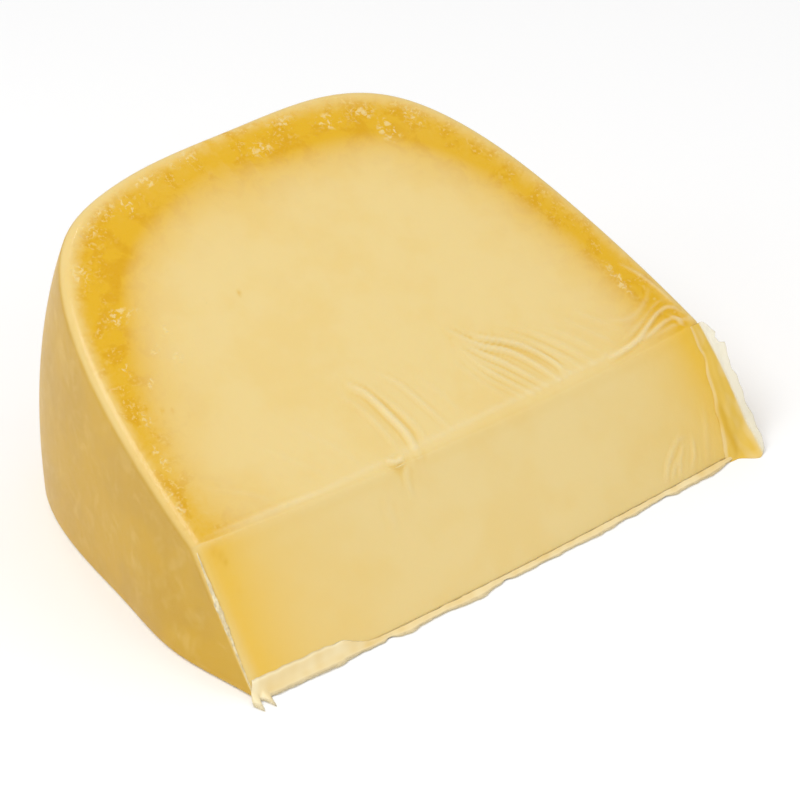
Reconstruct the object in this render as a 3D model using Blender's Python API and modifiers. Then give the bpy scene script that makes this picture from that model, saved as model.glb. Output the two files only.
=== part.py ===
"""A wedge of gouda in skin-tight clear film, with the two trimmed hems of the film.

The piece is a twelfth of a small wheel. Two flat cuts meet at the wheel's axis, a third
one takes the tip off, and what is left of the turned rind closes the sides and the back.
It lies on one of its two large cuts, so the other one slopes up to the back.

While it is modelled, the wheel's axis is the X axis and the lower cut is the plane z = 0.
The parent empty then moves the piece so that the middle of its base is the origin.
"""

import math

import bmesh
import bpy
import numpy as np
from mathutils import Matrix

# The wheel, in metres
WHEEL_RADIUS = 0.1148
WHEEL_THICKNESS = 0.1088
RIM_POWER = 3.0  # 2 would be an ellipse, and more is nearer to a box
FACE_POWER = 4.0
PROFILE_SAMPLES = 2001

# Swellings of the rind: share of the way from the rim to a flat face, spread, height
SWELLINGS = (
    (-0.12, 0.09, -0.0010),
    (0.26, 0.11, 0.0006),
    (0.68, 0.12, -0.0006),
)

# The cuts
WEDGE_ANGLE = math.radians(30.0)
TIP_CUT_LOW = 0.0264  # from the axis to the third cut, along the lower cut
TIP_CUT_HIGH = 0.0454  # and along the upper one
TIP_BOW_LOW = 0.0013  # how far the third cut bows out in its middle
TIP_BOW_HIGH = 0.0017
TIP_SKEW_LOW = -0.0004  # how much farther from the axis its left end lies, the right end nearer
TIP_SKEW_HIGH = 0.0011
LEAN = -0.088  # the rounds of the wheel were a little off square to its axis

# The foot of the left side, which spreads a little over the table
FOOT_SPREAD = 0.0022
FOOT_PLACE = 0.25  # share of the way from the front to the rear
FOOT_LENGTH = 0.14
FOOT_HEIGHT = 0.32  # share of the wedge's angle

# The block that is bent into the wedge
BLOCK_CELLS = (26, 18, 10)  # along the wheel's axis, away from it and round it
SHOULDER = 0.31  # share of the rind's outline that each side of the block takes

# The rounding that the tight film gives every edge
ROUNDING = 0.0018
ROUNDING_SEGMENTS = 2
ROUNDED_ANGLE = math.radians(20.0)

# Slight waves of the surface
WAVE_HEIGHT = 0.00012
WAVE_COUNT = 9
WAVE_SEED = 4

# The hems of the film: strips that stand off the third cut
HEM_GAP = 0.0006
HEM_THICKNESS = 0.0005
HEM_RAGGED = 0.0004
FRONT_HEM_CELLS = (72, 2)
FRONT_HEM_SEED = 7
FRONT_HEM_WIDE = 0.0034  # its folded part, at the left
FRONT_HEM_NARROW = 0.0018
FRONT_HEM_FOLD_END = 0.30  # share of the hem's length where the folded part ends
FRONT_HEM_FOLD_SLOPE = 0.012
FRONT_HEM_ENDS = (0.015, 0.95)  # shares of the front's width
RIGHT_HEM_CELLS = (26, 4)
RIGHT_HEM_SEED = 12
RIGHT_HEM_TOP = 0.0022  # how far it lies over the front, at the top
RIGHT_HEM_FOOT = 0.0042  # and at its foot
RIGHT_HEM_FRINGE = 0.0011  # how far it stands out past the cheese
RIGHT_HEM_ENDS = (0.03, 0.95)  # shares of the way up the front

CHEESE_COLOUR = (0.80, 0.60, 0.24, 1.0)
FILM_COLOUR = (0.86, 0.82, 0.70, 1.0)


def clear_scene():
    """Removes every object of the open scene."""
    for obj in list(bpy.data.objects):
        bpy.data.objects.remove(obj, do_unlink=True)


def new_collection(name):
    """A new collection in the scene."""
    collection = bpy.data.collections.new(name)
    bpy.context.scene.collection.children.link(collection)
    return collection


def new_material(name, colour, roughness):
    """A plain Principled material."""
    material = bpy.data.materials.new(name)
    material.use_nodes = True
    shader = material.node_tree.nodes["Principled BSDF"]
    shader.inputs["Base Color"].default_value = colour
    shader.inputs["Roughness"].default_value = roughness
    shader.inputs["Metallic"].default_value = 0.0
    material.diffuse_color = colour
    return material


def applied_mesh(obj):
    """The object's mesh with its modifiers applied."""
    bpy.context.view_layer.update()
    evaluated = obj.evaluated_get(bpy.context.evaluated_depsgraph_get())
    return bpy.data.meshes.new_from_object(evaluated)


def read_points(mesh):
    """The mesh's vertices as an array with a row for each."""
    points = np.empty(len(mesh.vertices) * 3)
    mesh.vertices.foreach_get("co", points)
    return points.reshape(-1, 3)


def write_points(mesh, points):
    """Moves the mesh's vertices to the rows of an array."""
    mesh.vertices.foreach_set("co", points.ravel())
    mesh.update()


def wheel_profile():
    """The wheel's section from one pole over the rim to the other, as share, along, radius.

    Along the way s runs from -1 to 1. With a = |s| * 90 degrees, the radius is
    R * cos(a) ^ (2 / RIM_POWER) and the place along the axis is half the thickness times
    sin(a) ^ (2 / FACE_POWER), on the side that s is on. Each swelling moves the line along
    its normal by a bell curve in s. share is the share of the line's length so far.
    """
    s = np.linspace(-1.0, 1.0, PROFILE_SAMPLES)
    a = np.abs(s) * math.pi / 2
    radius = WHEEL_RADIUS * np.clip(np.cos(a), 0, 1) ** (2 / RIM_POWER)
    along = np.sign(s) * WHEEL_THICKNESS / 2 * np.sin(a) ** (2 / FACE_POWER)
    bulge = sum(
        height * np.exp(-0.5 * ((s - place) / spread) ** 2)
        for place, spread, height in SWELLINGS
    )
    slope = np.stack([np.gradient(along), np.gradient(radius)])
    slope /= np.hypot(*slope) + 1e-12
    along = along - bulge * slope[1]
    radius = np.maximum(radius + bulge * slope[0], 0.0)
    travelled = np.concatenate([[0.0], np.cumsum(np.hypot(np.diff(along), np.diff(radius)))])
    return travelled / travelled[-1], along, radius


def tip_cut_corners():
    """Where the third cut meets the lower and the upper cut, as (y, z) pairs."""
    high = (TIP_CUT_HIGH * math.cos(WEDGE_ANGLE), TIP_CUT_HIGH * math.sin(WEDGE_ANGLE))
    return (TIP_CUT_LOW, 0.0), high


def wedge_points(across, back, up):
    """Points of the wedge for shares of its block, each from 0 to 1.

    up is the share of the wedge's angle, so it picks a plane through the wheel's axis. In
    that plane the section is bounded by the third cut, where back is 0, and by the rind's
    outline, which the block's left side, rear and right side share. Points between are
    a Coons patch: the two blends of opposite sides, less the blend of the four corners.
    """
    share, along, radius = wheel_profile()
    (low_y, _), (high_y, high_z) = tip_cut_corners()
    angle = WEDGE_ANGLE * up
    cut_radius = low_y * high_z / (high_z * np.cos(angle) - (high_y - low_y) * np.sin(angle))

    near_axis = radius < 0.8 * WHEEL_RADIUS
    on_left = near_axis & (along < 0)
    on_right = near_axis & (along > 0)
    skew = TIP_SKEW_LOW + (TIP_SKEW_HIGH - TIP_SKEW_LOW) * up
    left = np.interp(cut_radius + skew, radius[on_left], share[on_left])
    right = np.interp(cut_radius - skew, radius[on_right][::-1], share[on_right][::-1])
    side = SHOULDER * (right - left)

    def outline(place):
        return np.stack([np.interp(place, share, along), np.interp(place, share, radius)])

    bow = TIP_BOW_LOW + (TIP_BOW_HIGH - TIP_BOW_LOW) * up
    first, last = outline(left), outline(right)
    front = first + (last - first) * across
    front[1] -= bow * np.clip(1 - (2 * across - 1) ** 2, 0, 1)
    rear = outline(left + side + (right - left - 2 * side) * across)
    left_side = outline(left + side * back)
    right_side = outline(right - side * back)
    near_corners = first + (last - first) * across
    far_left, far_right = outline(left + side), outline(right - side)
    far_corners = far_left + (far_right - far_left) * across
    x, from_axis = (
        front * (1 - back)
        + rear * back
        + left_side * (1 - across)
        + right_side * across
        - near_corners * (1 - back)
        - far_corners * back
    )
    foot = np.exp(-0.5 * ((back - FOOT_PLACE) / FOOT_LENGTH) ** 2 - 0.5 * (up / FOOT_HEIGHT) ** 2)
    x = x - FOOT_SPREAD * foot * np.clip(1 - across, 0, 1) ** 2
    x = x + LEAN * (from_axis * np.cos(angle) - high_y)
    return np.stack([x, from_axis * np.cos(angle), from_axis * np.sin(angle)], axis=1)


def tip_cut_share(distance):
    """The share of the wedge's angle that lies this far up the third cut from its foot."""
    (low_y, _), (high_y, high_z) = tip_cut_corners()
    length = math.hypot(high_y - low_y, high_z)
    y = low_y + (high_y - low_y) * distance / length
    return np.arctan2(high_z * distance / length, y) / WEDGE_ANGLE


def tip_cut_points(across, up, stand_off):
    """Points on the third cut or off it by stand_off. across may go past 0 or 1."""
    (low_y, _), (high_y, high_z) = tip_cut_corners()
    length = math.hypot(high_y - low_y, high_z)
    outward = np.array([0.0, -high_z, high_y - low_y]) / length
    return wedge_points(across, np.zeros_like(across), up) + stand_off * outward


def make_block():
    """A cube primitive of side 1 from the origin, cut into cells."""
    block = bmesh.new()
    bmesh.ops.create_cube(block, size=1.0, matrix=Matrix.Translation((0.5, 0.5, 0.5)))
    for axis, cells in enumerate(BLOCK_CELLS):
        whole = [e for e in block.edges if abs(e.verts[0].co[axis] - e.verts[1].co[axis]) > 0.5]
        bmesh.ops.subdivide_edges(block, edges=whole, cuts=cells - 1, use_grid_fill=True)
    mesh = bpy.data.meshes.new("gouda")
    block.to_mesh(mesh)
    block.free()
    return mesh


def add_waves(points, normals):
    """Moves points along their normals by a sum of long, low sine waves, none at the base."""
    draw = np.random.default_rng(WAVE_SEED)
    height = np.zeros(len(points))
    for _ in range(WAVE_COUNT):
        direction = draw.normal(size=3)
        direction /= np.linalg.norm(direction)
        length = draw.uniform(0.018, 0.050)
        phase = draw.uniform(0, math.tau)
        height += np.sin(points @ direction * math.tau / length + phase)
    height *= WAVE_HEIGHT * math.sqrt(2 / WAVE_COUNT)
    rise = np.clip(points[:, 2] / 0.004, 0, 1)
    return points + normals * (height * rise)[:, None]


def make_gouda(parts):
    """The cheese and the film that lies on it: a block bent into the wedge, then rounded."""
    mesh = make_block()
    write_points(mesh, wedge_points(*read_points(mesh).T))
    gouda = bpy.data.objects.new("gouda", mesh)
    parts.objects.link(gouda)
    rounding = gouda.modifiers.new("rounding", "BEVEL")
    rounding.width = ROUNDING
    rounding.segments = ROUNDING_SEGMENTS
    rounding.limit_method = "ANGLE"
    rounding.angle_limit = ROUNDED_ANGLE
    rounded = applied_mesh(gouda)
    gouda.modifiers.clear()
    gouda.data = rounded
    bpy.data.meshes.remove(mesh)
    rounded.name = "gouda"
    normals = np.empty(len(rounded.vertices) * 3)
    rounded.vertices.foreach_get("normal", normals)
    write_points(rounded, add_waves(read_points(rounded), normals.reshape(-1, 3)))
    rounded.shade_smooth()
    rounded.materials.append(new_material("cheese", CHEESE_COLOUR, 0.35))
    return gouda


def ragged(count, seed):
    """An uneven line of heights between -1 and 1: random steps, eased with their neighbours."""
    draw = np.random.default_rng(seed)
    steps = draw.uniform(-1, 1, count + 2)
    return (steps[:-2] + 2 * steps[1:-1] + steps[2:]) / 4


def make_strip(name, parts, material, cells, place):
    """A thin strip of film: a grid whose points place(along, out) puts, made solid outwards."""
    mesh = bpy.data.meshes.new(name)
    sheet = bmesh.new()
    bmesh.ops.create_grid(sheet, x_segments=cells[0], y_segments=cells[1], size=0.5)
    sheet.to_mesh(mesh)
    sheet.free()
    flat = read_points(mesh)
    write_points(mesh, place(flat[:, 0] + 0.5, flat[:, 1] + 0.5))
    strip = bpy.data.objects.new(name, mesh)
    parts.objects.link(strip)
    mesh.materials.append(material)
    body = strip.modifiers.new("film", "SOLIDIFY")
    body.thickness = HEM_THICKNESS
    body.offset = 1.0
    return strip


def make_front_hem(parts, material):
    """The hem along the foot of the third cut: a folded flap at the left, then a low rim."""
    columns = FRONT_HEM_CELLS[0]
    edge = ragged(columns + 1, FRONT_HEM_SEED)

    def place(along, out):
        start, end = FRONT_HEM_ENDS
        folded = 1 / (1 + np.exp((along - FRONT_HEM_FOLD_END) / FRONT_HEM_FOLD_SLOPE))
        width = FRONT_HEM_NARROW + (FRONT_HEM_WIDE - FRONT_HEM_NARROW) * folded
        width = width + HEM_RAGGED * edge[np.rint(along * columns).astype(int)]
        across = start + (end - start) * along
        return tip_cut_points(across, tip_cut_share(out * width), HEM_GAP)

    return make_strip("film_hem_front", parts, material, FRONT_HEM_CELLS, place)


def make_right_hem(parts, material):
    """The hem down the right end of the third cut, with its fringe past the cheese."""
    columns = RIGHT_HEM_CELLS[0]
    edge = ragged(columns + 1, RIGHT_HEM_SEED)

    def place(along, out):
        start, end = RIGHT_HEM_ENDS
        up = start + (end - start) * along
        inner = RIGHT_HEM_FOOT + (RIGHT_HEM_TOP - RIGHT_HEM_FOOT) * along
        outer = RIGHT_HEM_FRINGE + HEM_RAGGED * edge[np.rint(along * columns).astype(int)]
        across = 1 + (outer - (inner + outer) * out) / WHEEL_THICKNESS
        return tip_cut_points(across, up, HEM_GAP)

    return make_strip("film_hem_right", parts, material, RIGHT_HEM_CELLS, place)


def centre_on_base(objects, collection):
    """Parents the objects to an empty that puts the middle of their common base at the origin."""
    corners = []
    for obj in objects:
        mesh = applied_mesh(obj)
        points = read_points(mesh)
        corners += [points.min(axis=0), points.max(axis=0)]
        bpy.data.meshes.remove(mesh)
    middle = (np.min(corners, axis=0) + np.max(corners, axis=0)) / 2
    empty = bpy.data.objects.new("gouda_wedge", None)
    collection.objects.link(empty)
    empty.location = (-middle[0], -middle[1], 0.0)
    for obj in objects:
        obj.parent = empty


def main():
    clear_scene()
    parts = new_collection("gouda_wedge")
    film = new_material("film", FILM_COLOUR, 0.2)
    pieces = [make_gouda(parts), make_front_hem(parts, film), make_right_hem(parts, film)]
    centre_on_base(pieces, parts)


main()
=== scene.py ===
"""A wedge of gouda in tight clear film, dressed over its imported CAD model.

The cheese and its film are the same block, bent into the wedge by a formula, and the cheese
lies a small gap inside the film. The film's two hems are thin sheets and its crumpled ridge
is a tube, laid along the cut that took the wedge's tip off. Lengths are in metres, unless
a comment says mm.
"""

import math

import bpy
import numpy as np
from bpy.props import FloatProperty, FloatVectorProperty, PointerProperty
from bpy.types import Operator, Panel, PropertyGroup
from mathutils import Color, Matrix, Vector


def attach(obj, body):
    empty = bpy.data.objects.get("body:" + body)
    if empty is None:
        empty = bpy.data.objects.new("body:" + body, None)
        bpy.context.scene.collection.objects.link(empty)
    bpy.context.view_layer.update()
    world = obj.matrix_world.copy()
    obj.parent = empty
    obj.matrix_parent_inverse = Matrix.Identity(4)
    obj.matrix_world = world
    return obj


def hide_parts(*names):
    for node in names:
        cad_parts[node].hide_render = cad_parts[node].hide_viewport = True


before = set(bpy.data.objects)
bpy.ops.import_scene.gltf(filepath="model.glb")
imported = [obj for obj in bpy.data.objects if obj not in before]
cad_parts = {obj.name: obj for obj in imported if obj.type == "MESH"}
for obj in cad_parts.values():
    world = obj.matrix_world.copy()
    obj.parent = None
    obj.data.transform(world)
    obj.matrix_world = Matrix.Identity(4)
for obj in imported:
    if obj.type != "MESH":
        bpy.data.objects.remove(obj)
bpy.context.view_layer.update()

bl_info = {
    "name": "Gouda wedge in film",
    "version": (1, 0, 0),
    "blender": (4, 5, 0),
    "location": "3D View > Sidebar > Gouda",
    "description": "A wedge of gouda in tight clear film with its hems, and a small studio",
    "category": "Add Mesh",
}

MM = 0.001

# The wheel that the wedge was cut from
WHEEL_RADIUS = 114.8 * MM
WHEEL_THICKNESS = 108.8 * MM
RIM_POWER = 3.0  # 2 would be an ellipse, and more is nearer to a box
FACE_POWER = 4.0
PROFILE_SAMPLES = 2001
# Swellings of the rind: share of the way from the rim to a flat face, spread, height
SWELLINGS = ((-0.12, 0.09, -1.0 * MM), (0.26, 0.11, 0.6 * MM), (0.68, 0.12, -0.6 * MM))
NEAR_AXIS = 0.8  # share of the radius inside which a flat face is sought

# The cuts
WEDGE_ANGLE = math.radians(30.0)
TIP_LOW = 26.4 * MM  # from the axis to the tip cut, along the lower cut
TIP_HIGH = 45.4 * MM  # and along the upper one
TIP_BOW = (1.3 * MM, 1.7 * MM)  # how far the tip cut bows out, at its foot and at its top
TIP_SKEW = (-0.4 * MM, 1.1 * MM)  # how much farther from the axis its left end lies
LEAN = -0.088  # the rounds of the wheel were a little off square to its axis
SHOULDER = 0.31  # share of the rind's outline that each side of the block takes

# The foot of the left side, which spreads a little
FOOT_SPREAD = 2.2 * MM
FOOT_PLACE = 0.25  # share of the way from the front to the rear
FOOT_LENGTH = 0.14
FOOT_HEIGHT = 0.32  # share of the wedge's angle

# From the wheel's axis to the middle of the wedge's base
AXIS_TO_BASE = np.array([-0.213, -69.337, 0.0]) * MM

# Directions square to the flat cuts, outwards
TIP_Y = TIP_HIGH * math.cos(WEDGE_ANGLE) - TIP_LOW
TIP_Z = TIP_HIGH * math.sin(WEDGE_ANGLE)
TIP_HEIGHT = math.hypot(TIP_Y, TIP_Z)  # the tip cut, measured up its slope
TIP_OUT = np.array([0.0, -TIP_Z, TIP_Y]) / TIP_HEIGHT
TOP_OUT = np.array([0.0, -math.sin(WEDGE_ANGLE), math.cos(WEDGE_ANGLE)])
BASE_OUT = np.array([0.0, 0.0, -1.0])

# The lattice: cells along the tip cut, away from it and up, and in half of each rounding
CELLS = (288, 84, 30)
ROUND_CELLS = 5
NEAR_LEFT = 1.35  # the first cells from the left, as a share of their mean
NEAR_FRONT = 0.25  # and the first ones away from the tip cut
INSET_PASSES = 4  # rounds in which the core's place and its angle settle
SAME_PLACE = 0.001 * MM  # points nearer than this are made one

# The golden layer under the rind, at places along the rind's outline on the top: from 0
# at the left end of the tip cut to 1 at its right end. After the place, each row has the
# depths in mm where the gold starts, is full and begins to fade, the depth in which it
# fades to a third, and how strong it is.
GOLD_BAND = (
    (-0.05, 0, 2.5, 3.6, 14, 0.74),  # down the left end of the tip cut
    (0, 0, 2.5, 4, 9, 0.8),
    (0.06, 0, 2.5, 3.2, 6, 0.72),
    (0.14, 0.8, 3.4, 4.6, 6, 0.9),  # left side
    (0.22, 0.8, 4.3, 8, 4, 1.05),
    (0.32, 1.4, 5.2, 10.4, 4, 1.05),  # rear left shoulder
    (0.42, 0.8, 4.6, 8, 5, 0.85),
    (0.47, 0.2, 4.2, 5.6, 7, 0.92),  # rear
    (0.54, 0.2, 4.6, 8, 4.6, 1.1),
    (0.62, 1.2, 6.4, 9.4, 5.2, 1),
    (0.7, 1, 5, 10, 5, 0.87),  # rear right shoulder
    (0.8, 0.5, 5.4, 6.4, 5.4, 0.92),
    (0.94, 0.1, 4.2, 5.4, 4.8, 1),  # right side
    (1, 0, 4, 5, 7, 0.92),
    (1.04, 0, 3.4, 4.4, 9, 0.8),  # down the right end of the tip cut
    (1.12, 0, 3, 3, 9, 0.52),
)

# Where small bubbles lie under the film on the top: x and q in mm as for the wrinkles,
# and how far each cluster reaches.
BUBBLES = (
    (-41, 43.5, 3.4, 1.6), (-38.4, 43.8, 1.2, 0.9), (-42.6, 53, 1.6, 2.6), (-37, 60.5, 2, 1.8),
    (-32, 62.5, 2.4, 1.4), (-28, 62, 1.4, 2.6), (-22, 65, 2.6, 1.3), (-13.6, 66.4, 3, 1.5),
    (0.4, 62.4, 2.2, 1.7), (7, 66, 3, 1.3), (15, 62.4, 2.6, 1.7), (21.5, 61.5, 3, 1.7),
    (24, 56.5, 2, 2.6), (30, 57, 1.7, 2.3), (-38.8, 35.2, 1.4, 1), (-43.2, 30, 1, 1.3),
    (-45.8, 34, 0.9, 1.6), (-35.4, 37.8, 1.4, 0.9), (-36.6, 32.2, 1.1, 1.1), (-26.4, 39.8, 0.8, 0.8),
    (-47.8, 25, 0.9, 2.6), (-49.6, 17, 0.8, 3), (-52, 9, 0.8, 3.5), (44, 12, 1, 4),
)

# Wrinkles of the film, each as points (x, q) in mm, then its height and its half width.
# x is the part's own, and q is the way over the surface from the upper edge of the tip
# cut: up the top where it is positive, and down the tip cut where it is negative.
WRINKLES = (
    (((-12.8, 15), (-11, 12), (-9.9, 7), (-9.3, 3), (-9.7, -0.6)), 0.3, 0.55),
    (((-9.8, 13), (-8.2, 9), (-7, 4), (-6.8, 1)), 0.1, 0.46),
    (((-6.8, 14.5), (-4.8, 11.5), (-3.2, 6), (-1.8, 0.6)), 0.14, 0.46),
    (((-1.4, 12), (0.6, 7), (1.6, 3)), 0.06, 0.5),
    (((-15.4, 14), (-13.6, 10), (-12.6, 5), (-12.4, 1.5)), 0.11, 0.5),
    (((-15.2, -0.2), (-14, -0.8), (-12.6, -0.5)), 0.28, 0.42),
    (((-12.9, -1.4), (-13.5, -3.6), (-13.8, -6.4)), 0.11, 0.5),
    (((9.4, 16.4), (12.4, 12.2), (16.4, 9), (19.2, 5), (21.4, 0.3)), 0.28, 0.46),
    (((9.4, 14.6), (12.2, 10.2), (15, 6.4), (18.6, 0.4)), 0.22, 0.44),
    (((13, 13.4), (17.8, 10.4), (21.2, 6.6), (24, 0.8)), 0.26, 0.45),
    (((8.8, 12.8), (10.4, 8.4), (12.6, 4.2), (15.4, -0.2)), 0.18, 0.45),
    (((17.4, 12.6), (21.2, 9), (24.2, 4.8), (26.6, 0.4)), 0.15, 0.5),
    (((21, 12), (24.4, 8), (27.6, 3.4), (29.2, 0.2)), 0.1, 0.5),
    (((6.6, 11), (8.4, 6), (11, 0.6)), 0.07, 0.55),
    (((33, -0.4), (38, 0.2), (42, 1.6), (46, 3.4), (49, 3.6), (50.6, 1.8)), 0.3, 0.42),
    (((40, 0.2), (44, 1), (47.6, 1.5), (49.8, 0.5)), 0.2, 0.4),
    (((38, 1.6), (43, 3.4), (46.8, 5), (49, 5.2)), 0.14, 0.42),
    (((36, 6.4), (41, 4.8), (45.6, 6.4), (48.6, 9)), 0.1, 0.55),
    (((46.4, 14.6), (48.4, 11), (49.8, 6.6), (50.4, 3.4)), 0.2, 0.44),
    (((47.4, 3), (48.8, 1.2), (49.2, -0.8)), 0.14, 0.4),
    (((26, 9.4), (29.6, 5), (32, 0.8)), 0.08, 0.52),
    (((29.4, 10.2), (32.6, 5.6), (35, 2)), 0.08, 0.52),
    (((32.6, 10.4), (35.4, 6.6), (38, 3.4)), 0.07, 0.52),
    (((-51, 1.6), (-44, 1.2), (-36, 0.8), (-30, 0.3)), 0.1, 0.45),
    (((-46, 9), (-40, 5), (-36, 1)), 0.06, 0.55),
    (((-34, 12), (-29, 6), (-26, 1.6)), 0.05, 0.6),
    (((-26, 12), (-22, 6), (-20, 1)), 0.05, 0.6),
    (((11.6, 15.6), (15.4, 12), (19.6, 8.4), (22.8, 3.4), (23, 0.2)), 0.13, 0.36),
    (((8.2, 11.6), (9.8, 6.4), (12.4, 2), (13.4, 0.2)), 0.11, 0.38),
    (((9, 13.6), (11, 9.4), (14, 5), (17, 0)), 0.13, 0.36),
    (((15.2, 13.2), (19.4, 9.8), (22.8, 6), (25.2, 0.6)), 0.12, 0.36),
    (((34.6, -23.8), (36.2, -21), (39.2, -18.4), (41, -18)), 0.13, 0.42),
    (((37.8, -24), (38.8, -21.6), (40.4, -19.4)), 0.12, 0.4),
    (((40.6, -24.2), (42, -21.8), (42.8, -19.2)), 0.12, 0.4),
    (((36, -23.8), (37.2, -22.4), (38.6, -21.4)), 0.1, 0.38),
    (((44.2, -24.2), (45.8, -20), (47, -15.6)), 0.06, 0.55),
    (((-18.2, -5), (-18.8, -8), (-18.6, -11)), 0.06, 0.7),
)

WRINKLE_STEPS = 48  # points along each wrinkle's line
WRINKLE_REACH = 2 * MM  # how far from its line a wrinkle is looked for
TROUGH_DEPTH = 0.45  # share of the wrinkle's height

# Small dark spots of the cheese just under the film, as (x, q, radius) in mm
SPOTS = (
    (-50.6, -1.8, 0.5), (-49.8, -3.1, 0.5), (-49.4, -3.8, 0.4), (-51, -4.6, 0.3), (-49, -9.6, 0.35),
    (-46.6, 26.2, 0.35), (-44.4, 24.6, 0.3), (-19.8, 38.6, 0.35), (-42.8, 23.8, 0.3),
)

# The hem along the foot of the tip cut, in mm
HEM_CLEARANCE = 0.15 * MM  # of both hems above the floor
FRONT_GRID = (15, 341)  # rows up the cut, and columns along it
FRONT_ENDS = (-54.8, 49.6)
FRONT_WIDTH = 1.5
FOLD_WIDTH = 1.9  # what the folded part at the left adds
FOLD_END = -33.0
FOLD_SOFTNESS = 1.2
LIP_WIDTH = 0.65
LIP_BUMPS = (  # place, reach and height of each
    (-24.0, 2.2, 0.7),
    (-27.4, 1.0, -0.7),
    (-9.0, 4.0, 0.4),
    (-3.2, 1.0, -0.6),
    (35.0, 1.2, 0.5),
)
TORN_TIPS = ((-54.1, 0.8), (-52.0, 0.7))  # place and half width of each
TORN_REACH = 2.6

# The hem down the right end of the tip cut, in mm: each line as heights and its x at them
RIGHT_GRID = (25, 161)  # rows from the crease out, and columns up the cut
RIGHT_ENDS = (-0.4, 25.8)
CREASE = ((0, 6, 12, 16, 20, 24, 26), (47.8, 48.8, 49.6, 50.1, 50.5, 50.2, 49.9))
GOLD_EDGE = ((0, 3, 8, 14, 20, 26), (54.6, 54.8, 54.4, 53.8, 53.0, 52.0))  # end of the stained part
FRINGE = (
    (-0.4, 0.8, 2.5, 6, 12, 18, 20.6, 21.0, 22.2, 23.0, 24.4, 25.8),
    (53.6, 55.4, 56.2, 56.3, 55.9, 55.5, 55.7, 54.6, 54.3, 54.9, 53.8, 52.6),
)

# The crumpled ridge up the left end of the tip cut
RIDGE_GRID = (261, 12)  # rings up the cut, and points round each
RIDGE_LENGTH = 26.4  # in mm
RIDGE_ENDS = (0.02, 0.95)  # its foot and its length, as shares of the wedge's angle
RIDGE_CLEARANCE = 0.1 * MM
# Milk added all over the ridge: partly crumpled film, partly a painted highlight
RIDGE_HAZE_AND_SHEEN = 0.20

FLOOR_REACH = 4  # half the floor's side, in metres


def smooth(low, high, value):
    """0 below low, 1 above high, and 3 t^2 - 2 t^3 of the share t of the way between them."""
    t = np.clip((value - low) / (high - low), 0, 1)
    return t * t * (3 - 2 * t)


def bell(value, middle, reach):
    """A bell curve: 1 in the middle, and e to the minus 1 at the reach on each side."""
    return np.exp(-(((value - middle) / reach) ** 2))


def ripple(points, lengths, seed, count=14):
    """A wavy height of about -1 to 1 at each point: the sum of count sine waves.

    Each wave runs in a random direction, with a random length between the two given.
    """
    draw = np.random.default_rng(seed)
    ways = draw.normal(size=(count, points.shape[1]))
    ways /= np.linalg.norm(ways, axis=1)[:, None]
    ways *= math.tau / draw.uniform(*lengths, size=(count, 1))
    starts = draw.uniform(0, math.tau, count)
    return np.sin(points @ ways.T + starts).sum(axis=1) * math.sqrt(2 / count) / 2


def wheel_profile():
    """The wheel's section: share, its line as along and radius, and the line's unit normals.

    Along the way s runs from -1 to 1. With a = |s| * 90 degrees, the radius is
    R * cos(a) ^ (2 / RIM_POWER) and the place along the axis is half the thickness times
    sin(a) ^ (2 / FACE_POWER). Each swelling moves the line along its normal by a bell
    curve in s. share is the share of the line's length so far.
    """
    s = np.linspace(-1.0, 1.0, PROFILE_SAMPLES)
    a = np.abs(s) * math.pi / 2
    radius = WHEEL_RADIUS * np.clip(np.cos(a), 0, 1) ** (2 / RIM_POWER)
    along = np.sign(s) * WHEEL_THICKNESS / 2 * np.sin(a) ** (2 / FACE_POWER)
    line = np.stack([along, radius])
    bulge = sum(
        height * np.exp(-0.5 * ((s - place) / spread) ** 2)
        for place, spread, height in SWELLINGS
    )
    line = line + bulge * outward_of(line)
    travelled = np.concatenate([[0.0], np.cumsum(np.hypot(*np.diff(line, axis=1)))])
    return travelled / travelled[-1], line, outward_of(line)


def outward_of(line):
    """The unit normals of a line that runs from left to right over the outside."""
    slope = np.gradient(line, axis=1)
    slope /= np.hypot(*slope) + 1e-12
    return np.stack([-slope[1], slope[0]])


def section(across, back, angle, inset):
    """Places in planes through the wheel's axis, for shares across and back of the block.

    The section is bounded by the tip cut, where back is 0, and by the rind's outline,
    which the left side, the rear and the right side share. Points between are a Coons
    patch: the two blends of opposite sides, less the blend of the corners. Every bound is
    moved inwards by inset. It gives x, the distance from the axis, and three outline
    shares: of the left side, of the rear and of the right side.
    """
    share, line, normal = wheel_profile()
    along, radius = line
    low = TIP_LOW + inset * TIP_HEIGHT / TIP_Z
    cut_radius = low * TIP_Z / (TIP_Z * np.cos(angle) - TIP_Y * np.sin(angle))
    up = np.clip(angle / WEDGE_ANGLE, 0, 1)
    near_axis = radius < NEAR_AXIS * WHEEL_RADIUS
    on_left = near_axis & (along < 0)
    on_right = near_axis & (along > 0)
    skew = TIP_SKEW[0] + (TIP_SKEW[1] - TIP_SKEW[0]) * up
    left = np.interp(cut_radius + skew, radius[on_left], share[on_left])
    right = np.interp(cut_radius - skew, radius[on_right][::-1], share[on_right][::-1])
    side = SHOULDER * (right - left)

    def outline(place):
        on_line = np.stack([np.interp(place, share, part) for part in line])
        return on_line - inset * np.stack([np.interp(place, share, part) for part in normal])

    bow = TIP_BOW[0] + (TIP_BOW[1] - TIP_BOW[0]) * up
    first, last = outline(left), outline(right)
    corners = first + (last - first) * across
    front = corners.copy()
    front[1] -= bow * np.clip(1 - (2 * across - 1) ** 2, 0, 1)
    places = left + side * back, left + side + (right - left - 2 * side) * across, right - side * back
    left_side, rear, right_side = (outline(place) for place in places)
    far_left, far_right = outline(left + side), outline(right - side)
    far_corners = far_left + (far_right - far_left) * across
    x, from_axis = (
        front * (1 - back)
        + rear * back
        + left_side * (1 - across)
        + right_side * across
        - corners * (1 - back)
        - far_corners * back
    )
    return x, from_axis, places


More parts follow.
